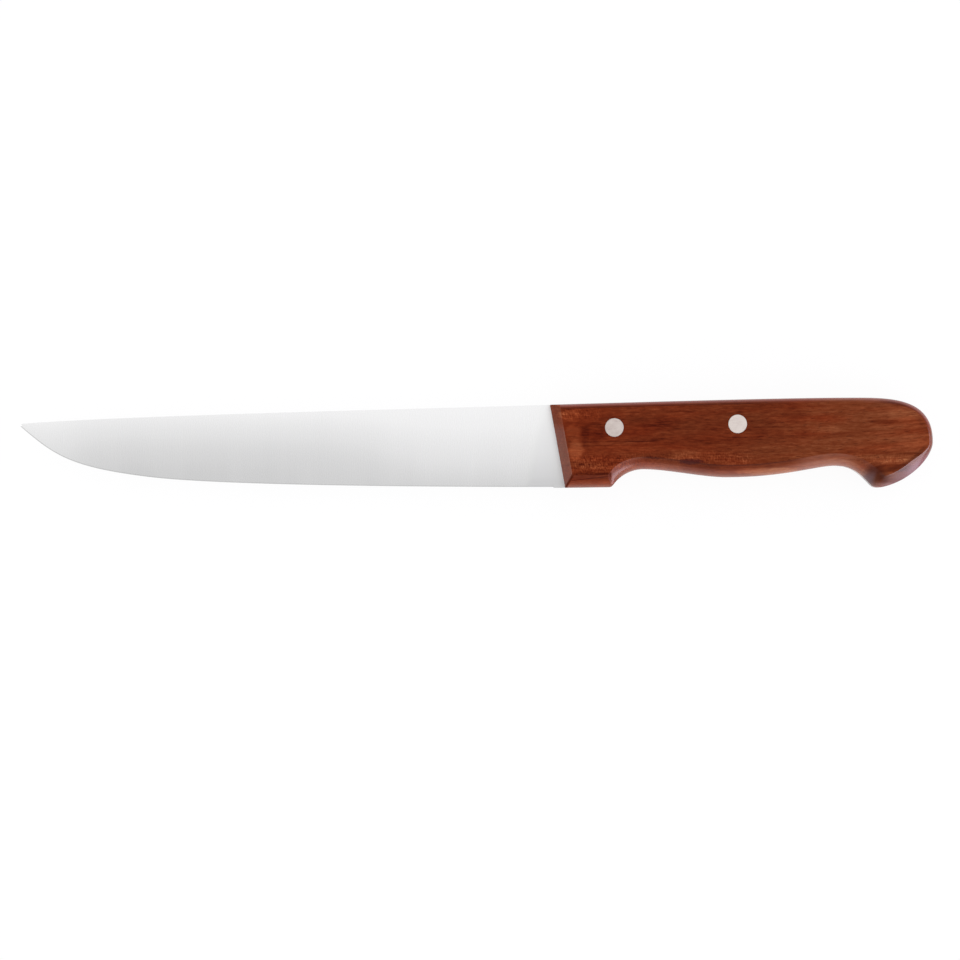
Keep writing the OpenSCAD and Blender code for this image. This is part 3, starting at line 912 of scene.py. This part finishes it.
# Handle
handleSizes = {
    "frontBevel": (3.1, 1, 0.1),  # width, depth as a share of it, and roundness
    "guardBevel": (4.2, 0.9, 0.5),
    "notchBevel": (3.1, 0.75, 0.03),
    "gripBevel": (4.2, 1, 0.55),
    "beakBevel": (5.4, 0.8, 0.6),
    "buttBevel": (3.4, 0.75, 0.03),
    "rearBevel": (1.4, 2, 0.6),
    "backBevel": (1.7, 1.2, 0.8),
    "notchTurn": (0, 0.6),  # shares of the side between which the bevel changes
    "buttTurn": (0.45, 0.95),
    "beakRadius": 3.5,
    "guardRadius": 1.6,
    "sharpRadius": 0.3,
    "sidePieces": 48,
    "cornerPieces": 9,
    "bevelRings": 22,
    "ringPower": 1.6,
    "softBelow": 12,
}


Side = namedtuple("Side", "line startBevel endBevel pieces radius turn")


def bevelInset(bevel, depth):
    width, depthShare, curved = bevel
    down = min(1.0, depth / (width * depthShare))
    if down <= 0:
        return width
    t = 2 * down / (1 - curved + ((1 - curved) ** 2 + 4 * curved * down) ** 0.5)
    return width * (1 - t) * (1 - curved * t)


def handleSides():
    size = handleSizes
    pieces, sharp = size["sidePieces"], size["sharpRadius"]
    whole = (0, 1)
    plan = [  # curve, its two bevels, pieces, rounding of the corner after it, and turn
        ("guard", "guard", "guard", 6, size["guardRadius"], whole),
        ("hollow", "notch", "grip", pieces, 0, size["notchTurn"]),
        ("swell", "grip", "grip", pieces, 0, whole),
        ("waist", "grip", "grip", pieces, 0, whole),
        ("beak", "grip", "beak", pieces, size["beakRadius"], whole),
        ("butt", "butt", "rear", pieces, 0, size["buttTurn"]),
        ("rump", "rear", "back", pieces, 0, whole),
        ("back", "back", "back", pieces, sharp, whole),
        ("front", "front", "front", 6, sharp, whole),
    ]
    return [Side(curves[line], size[a + "Bevel"], size[b + "Bevel"], count, radius, turn)
            for line, a, b, count, radius, turn in plan]


def insetAt(side, t, depth):
    (w0, d0, r0), (w1, d1, r1), (start, end) = side.startBevel, side.endBevel, side.turn
    t = min(1.0, max(0.0, (t - start) / (end - start)))
    t = t * t * (3 - 2 * t)
    width = mixed(w0, w1, t)
    return bevelInset((width, mixed(w0 * d0, w1 * d1, t) / width, mixed(r0, r1, t)), depth)


def edgePoint(side, t, depth):
    slope = bezierSlope(side.line, t).normalized()
    return bezier(side.line, t) + Vector((-slope.y, slope.x)) * insetAt(side, t, depth)


def cornerAfter(side, following, depth):
    s, t = 1.0, 0.0
    for step in range(14):  # walks along both sides to where they cross
        gap = edgePoint(following, t, depth) - edgePoint(side, s, depth)
        a, b = bezierSlope(side.line, s), bezierSlope(following.line, t)
        s, t = s + gap.cross(b) / a.cross(b), t + gap.cross(a) / a.cross(b)
    a, b = bezierSlope(side.line, s), bezierSlope(following.line, t)
    inset = min(insetAt(side, s, depth), insetAt(following, t, depth))
    cut = max(side.radius - inset, handleSizes["sharpRadius"]) * tan(a.angle(b) / 2)
    return s - cut / a.length, t + cut / b.length, edgePoint(side, s, depth)


def handleOutline(depth):
    sides = handleSides()
    following = sides[1:] + sides[:1]
    corners = [cornerAfter(side, after, depth) if side.radius else None
               for side, after in zip(sides, following)]
    points, count = [], handleSizes["cornerPieces"]
    for n, side in enumerate(sides):
        before, after = corners[n - 1], corners[n]
        start, end = before[1] if before else 0, after[0] if after else 1
        points += [edgePoint(side, mixed(start, end, i / side.pieces), depth)
                   for i in range(0 if before else 1, side.pieces + 1)]
        if after:
            last, first = points[-1], edgePoint(following[n], after[1], depth)
            for i in range(1, count):
                t = i / count
                points.append(mixed(mixed(last, after[2], t), mixed(after[2], first, t), t))
    return points


def handleBlock():
    size = handleSizes
    deepest = max(bevel[0] * bevel[1] for name, bevel in size.items() if name.endswith("Bevel"))
    rings = size["bevelRings"]
    depths = [deepest * (n / rings) ** size["ringPower"] for n in range(rings + 1)]
    levels = ([(depth, lowCheek + depth) for depth in depths]
              + [(depth, highCheek - depth) for depth in reversed(depths)])
    return stacked("handleWood", [[inFrame(p.x, p.y, z) for p in handleOutline(depth)]
                                  for depth, z in levels], woodFinish)


def makeHandle():
    wood = handleBlock()
    gap, over = tangSizes["slotGap"], tangSizes["cutterOver"]
    combine(wood, plate("slotCutter", tangOutline(gap, tangSizes["slotRunout"], over),
                        middle - stock / 2 - gap, middle + stock / 2 + gap), "DIFFERENCE")
    mouth, deep = rivetSizes["head"] / 2 + rivetSizes["gap"], rivetSizes["headDepth"]
    combine(wood, turnedParts("boreCutter", [
        (0, lowCheek - over), (mouth, lowCheek - over), (mouth, lowCheek + deep),
        (bore, lowCheek + deep), (bore, highCheek - deep), (mouth, highCheek - deep),
        (mouth, highCheek + over), (0, highCheek + over)]), "DIFFERENCE")
    smoothed(wood, handleSizes["softBelow"])
    return wood


handleWood = makeHandle()
print("handle made:", len(handleWood.data.polygons), "faces")


# Blade: a loft between the cutting edge and the spine, joined to its foot and its tang
bladeSizes = {
    "tipThickness": 0.7,
    "spineGrind": 0.1,
    "edgeShoulder": 0.32,
    "edgeLand": 0.06,
    "bevelAngle": 20,
    "grindFade": 4,
    "grindCrown": 1.35,
    "taperPower": 0.6,
    "heelRounding": 12,
    "footThickness": 0.8,
    "footChamfer": 0.25,
    "footHeight": 3.6,
    "lap": 1,
    "stations": 380,
    "rows": 28,
    "rowPower": 1.3,
    "softBelow": 9,
}


def curveObject(name, segments):
    data = bpy.data.curves.new(name, "CURVE")
    data.dimensions = "3D"
    data.resolution_u = 64
    points = data.splines.new("BEZIER").bezier_points
    points.add(len(segments))
    for n, point in enumerate(points):
        ahead, behind = segments[min(n, len(segments) - 1)], segments[max(n - 1, 0)]
        here = ahead[0] if n < len(segments) else ahead[3]
        point.handle_left_type = point.handle_right_type = "FREE"
        point.co = inFrame(here.x, here.y, 0)
        point.handle_left = inFrame(*(behind[2] if n else here), 0)
        point.handle_right = inFrame(*(ahead[1] if n < len(segments) else here), 0)
    return show(name, data)


def bladeTree(lengths):
    group, names, tree, given = newGeometryTree("bladeLoft", {
        "Edge": "Object", "Spine": "Object", "Stations": "Int", "Rows": "Int",
        **{label: "Float" for label in lengths}, "Finish": "Material"})
    stations, rows = given["Stations"], given["Rows"]
    tipX, frontX = given["Tip X"], given["Front X"]
    grid = tree.add("GeometryNodeMeshGrid", {"Vertices X": stations, "Vertices Y": rows})
    index = tree.add("GeometryNodeInputIndex")
    station = tree.math("FLOOR", (index + 0.5) / rows)
    row = index - station * rows

    def sample(guide, factor):
        line = tree.add("GeometryNodeObjectInfo", {"Object": given[guide]}, out="Geometry")
        return tree.apart(tree.add("GeometryNodeSampleCurve", {"Curves": line, "Factor": factor}, {
            "mode": "FACTOR", "use_all_curves": True}, out="Position"))

    # the first and the last station are drawn together into the middle plane, and so are
    # the first and the last row
    x, low, _ = sample("Edge", tree.clamp(station / (stations - 2)))
    _, high, _ = sample("Spine", tree.clamp((x - tipX) / (given["End X"] - tipX)))
    tall = high - low
    run = tree.clamp((x - tipX) / (frontX - tipX))

    def halfThickness(height, share):
        spine = given["Half Tip"] + (given["Half Spine"] - given["Half Tip"]) * run ** given[
            "Taper Power"]
        crowned = 1 - (1 - share) ** given["Grind Crown"]
        ground = given["Half Shoulder"] + (spine - given["Half Shoulder"]) * crowned
        past = x - frontX + given["Grind Stop"] - given["Grind Lean"] * height
        fade = tree.fade(past, given["Half Fade"] * -1, given["Half Fade"])
        full = 1 - (1 - tree.clamp(height / given["Heel Rounding"])) ** 2
        return ground + (given["Half Stock"] - ground) * fade * full

    flank = halfThickness(low - given["Edge Y"], run * 0)
    shoulder = tree.math("MINIMUM", (flank - given["Half Land"]) / given["Bevel Slope"],
                         tall * 0.5)
    share = tree.clamp((row - 2) / (rows - 4)) ** given["Row Power"]
    above = (shoulder + (tall - shoulder) * share) * tree.clamp(row - 1)
    half = tree.math("MINIMUM", halfThickness(low + above - given["Edge Y"], share),
                     given["Half Land"] + above * given["Bevel Slope"])
    spread = (tree.clamp(row) * tree.clamp(rows - 1 - row) * tree.clamp(station)
              * tree.clamp(stations - 1 - station))

    def side(direction):
        return tree.add("GeometryNodeSetPosition", {"Geometry": grid, "Position": tree.vector(
            x, low + above, given["Middle Z"] + half * spread * direction)})

    lower = tree.add("GeometryNodeFlipFaces", {"Mesh": side(-1)})
    both = tree.add("GeometryNodeJoinGeometry", {0: [side(1), lower]})
    sewn = tree.add("GeometryNodeMergeByDistance", {"Geometry": both, "Distance": 1e-7})
    endTree(tree, sewn, given["Finish"])
    return group, names


def groundBlade():
    size = bladeSizes
    endX = knifeLines["frontLean"] + size["lap"]
    edgeEnd = curves["flat"][3]
    edge = curveObject("edgeLine", [curves["belly"], curves["flat"],
                                    straight(edgeEnd, Vector((endX, 0)))])
    spine = curveObject("spineLine", [curves["spine"], firstPart(
        curves["backAhead"], shareAtX(curves["backAhead"], endX))])
    lengths = {
        "Half Stock": stock / 2 * mm, "Half Spine": (stock / 2 - size["spineGrind"]) * mm,
        "Half Tip": size["tipThickness"] / 2 * mm, "Half Shoulder": size["edgeShoulder"] / 2 * mm,
        "Half Land": size["edgeLand"] / 2 * mm, "Bevel Slope": tan(radians(size["bevelAngle"])),
        "Grind Crown": size["grindCrown"], "Grind Stop": knifeLines["grindStop"] * mm,
        "Grind Lean": knifeLines["grindLean"], "Half Fade": size["grindFade"] / 2 * mm,
        "Taper Power": size["taperPower"], "Row Power": size["rowPower"],
        "Heel Rounding": size["heelRounding"] * mm, "Tip X": bladeLow.x, "Front X": startX * mm,
        "End X": (startX + endX) * mm, "Edge Y": startY * mm, "Middle Z": middle * mm}
    group, names = bladeTree(lengths)
    return grown("bladeSteel", group, names, {
        "Edge": edge, "Spine": spine, "Stations": size["stations"], "Rows": size["rows"],
        **lengths, "Finish": steelFinish})


def bladeFoot():
    size, drop = bladeSizes, -knifeLines["heelFoot"]
    half, cut = size["footThickness"] / 2, size["footChamfer"]
    outline = [(drop, cut - half), (drop + cut, -half), (size["footHeight"], -half),
               (size["footHeight"], half), (drop + cut, half), (drop, half - cut)]
    ends = curves["flat"][3].x, knifeLines["frontLean"] + size["lap"]
    return stacked("foot", [[inFrame(x, height, middle + z) for height, z in outline]
                            for x in ends], steelFinish)


def makeBlade():
    steel = groundBlade()
    foot = bladeFoot()
    outwards(foot)
    combine(steel, foot, "UNION")
    half = stock / 2 - tangSizes["seat"]
    combine(steel, plate("tang", tangOutline(), middle - half, middle + half, steelFinish), "UNION")
    combine(steel, turnedParts("boreCutter", [(0, lowCheek), (bore, lowCheek), (bore, highCheek),
                                              (0, highCheek)]), "DIFFERENCE")
    smoothed(steel, bladeSizes["softBelow"])
    return steel


bladeSteel = makeBlade()
print("blade made:", len(bladeSteel.data.polygons), "faces")


# Rivets: a hollow half from the lower cheek and a solid half from the upper one
def headProfile(face, inward):
    # from the middle of the slightly crowned face, round the rim, to the head's inner side
    size = rivetSizes
    flat, rim, steps = size["head"] / 2 - size["rim"], size["rim"], size["crownPieces"]
    crown = [(flat * n / steps, face + inward * size["crown"] * (n / steps) ** 2)
             for n in range(steps)]
    turn = [(flat + rim * sin(pi / 2 * n / size["rimPieces"]),
             face + inward * (size["crown"] + rim - rim * cos(pi / 2 * n / size["rimPieces"])))
            for n in range(size["rimPieces"] + 1)]
    return crown + turn + [(flat + rim, face + inward * size["headDepth"])]


def makeRivets():
    size = rivetSizes
    sleeve, stem = size["sleeve"] / 2, size["stem"] / 2
    inside = stem + size["gap"]
    lowHead, highHead = lowCheek + size["headDepth"], highCheek - size["headDepth"]
    hollow = headProfile(lowCheek, 1) + [
        (sleeve, lowHead), (sleeve, highHead - size["sleeveGap"]),
        (inside, highHead - size["sleeveGap"]), (inside, lowHead), (0, lowHead)]
    solid = headProfile(highCheek, -1) + [
        (stem, highHead), (stem, lowHead + size["stemGap"]), (0, lowHead + size["stemGap"])]
    made = []
    for half, profile in (("sleeve", hollow), ("stem", solid)):
        piece = turnedParts("rivet" + half.title() + "s", profile, rivetFinish)
        smoothed(piece, size["softBelow"])
        made.append((piece, ("front_rivet_" + half, "rear_rivet_" + half), "rivet_metal"))
    return made


dressed = [(handleWood, ("handle",), "handle_wood"), (bladeSteel, ("blade",), "blade_steel")]
dressed += makeRivets()
for piece, nodes, slot in dressed:
    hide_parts(*nodes)
    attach(piece, "root")
print("rivets made, pieces in all:", len(dressed))


# Studio
studio = {
    "floorSize": 60.0,
    "floorShade": 0.95,
    "floorGlow": 0.93,  # share of the floor's look that is plain white
    "cameraHeight": 2.0,  # metres above the knife's middle plane
    "pixelSize": 0.3363,  # millimetres on the knife per pixel of the picture
    "picture": 960,
    "cornerPixel": (549.85, 404.9),  # where the handle's upper front corner is in the picture
    "zenith": 1.02,
    "horizon": 0.35,  # low light from all round, and what each side adds to it
    "right": 2.3,
    "lowerRight": 3.2,
    "left": 0.45,
    "back": 1.0,
    "rightTint": (0.93, 0.88, 1.0, 1),
    "rightReach": (0.15, 0.55),  # how far round each light reaches, as parts of a direction
    "lowerRightReach": (0.885, 0.965),
    "leftReach": (-0.4, -0.95),
    "backReach": (0.3, 0.95),
    "zenithReach": (0.35, 0.9),
    "softboxes": {  # place, size and brightness
        "frontStrip": ((0.0, -1.5, 0.35), (2.4, 0.5), 0.8),
        "leftStrip": ((-1.6, 0.1, 0.35), (1.1, 0.5), 0.8),
    },
}


def makeFloor():
    half, low = studio["floorSize"] / 2, -0.02 * mm
    floor = meshObject("floor", [(-half, -half, low), (half, -half, low), (half, half, low),
                                 (-half, half, low)], [[0, 1, 2, 3]])
    made, tree, shader = newMaterial("paleFloor", Roughness=0.9, Specular_IOR_Level=0.0)
    shader.inputs["Base Color"].default_value = (*[studio["floorShade"]] * 3, 1)
    seen = tree.math("MAXIMUM", tree.add("ShaderNodeLightPath", out="Is Camera Ray"),
                     tree.add("ShaderNodeLightPath", out="Is Glossy Ray"))
    white = tree.add("ShaderNodeEmission", {"Color": (1, 1, 1, 1), "Strength": 1.0})
    surface = tree.add("ShaderNodeMixShader", {
        0: seen * studio["floorGlow"], 1: Wire(tree, shader.outputs[0]), 2: white})
    tree.feed(surface, made.node_tree.nodes["Material Output"], "Surface")
    floor.data.materials.append(made)


def softbox(name, place, size, brightness):
    light = bpy.data.lights.new(name, "AREA")
    light.shape = "RECTANGLE"
    light.size, light.size_y = size
    light.energy = brightness * pi * size[0] * size[1]
    made = show(name, light)
    made.location = place
    made.rotation_euler = (-Vector(place)).to_track_quat("-Z", "Y").to_euler()
    made.visible_camera = False


def makeWorld():
    world = bpy.data.worlds.new("studio")
    world.use_nodes = True
    bpy.context.scene.world = world
    tree = Tree(world.node_tree)
    x, y, z = tree.apart(tree.add("ShaderNodeTexCoord", out=0))
    right = tree.fade(x, *studio["rightReach"])
    lowerRight = tree.fade((x - y) * sin(pi / 4), *studio["lowerRightReach"])
    low = (studio["horizon"] + right * studio["right"] + lowerRight * studio["lowerRight"]
           + tree.fade(x, *studio["leftReach"]) * studio["left"]
           + tree.fade(y, *studio["backReach"]) * studio["back"])
    high = tree.fade(z, *studio["zenithReach"])
    sky = world.node_tree.nodes["Background"]
    tree.feed(low + (studio["zenith"] - low) * high, sky, "Strength")
    tree.feed(tree.shade(right, (1, 1, 1, 1), studio["rightTint"]), sky, "Color")


def makeCamera():
    size = studio
    pixel = size["pixelSize"] * mm
    corner = inFrame(0, knifeLines["heelHeight"], middle)
    data = bpy.data.cameras.new("photoCamera")
    data.sensor_width = 36
    data.lens = data.sensor_width * size["cameraHeight"] / (size["picture"] * pixel)
    data.clip_end = 200
    made = show("photoCamera", data)
    made.location = (corner.x + (size["picture"] / 2 - size["cornerPixel"][0]) * pixel,
                     corner.y - (size["picture"] / 2 - size["cornerPixel"][1]) * pixel,
                     corner.z + size["cameraHeight"])
    bpy.context.scene.camera = made


makeFloor()
makeWorld()
for name, box in studio["softboxes"].items():
    softbox(name, *box)
makeCamera()
bpy.context.scene.view_settings.view_transform = "Standard"
print("studio made")
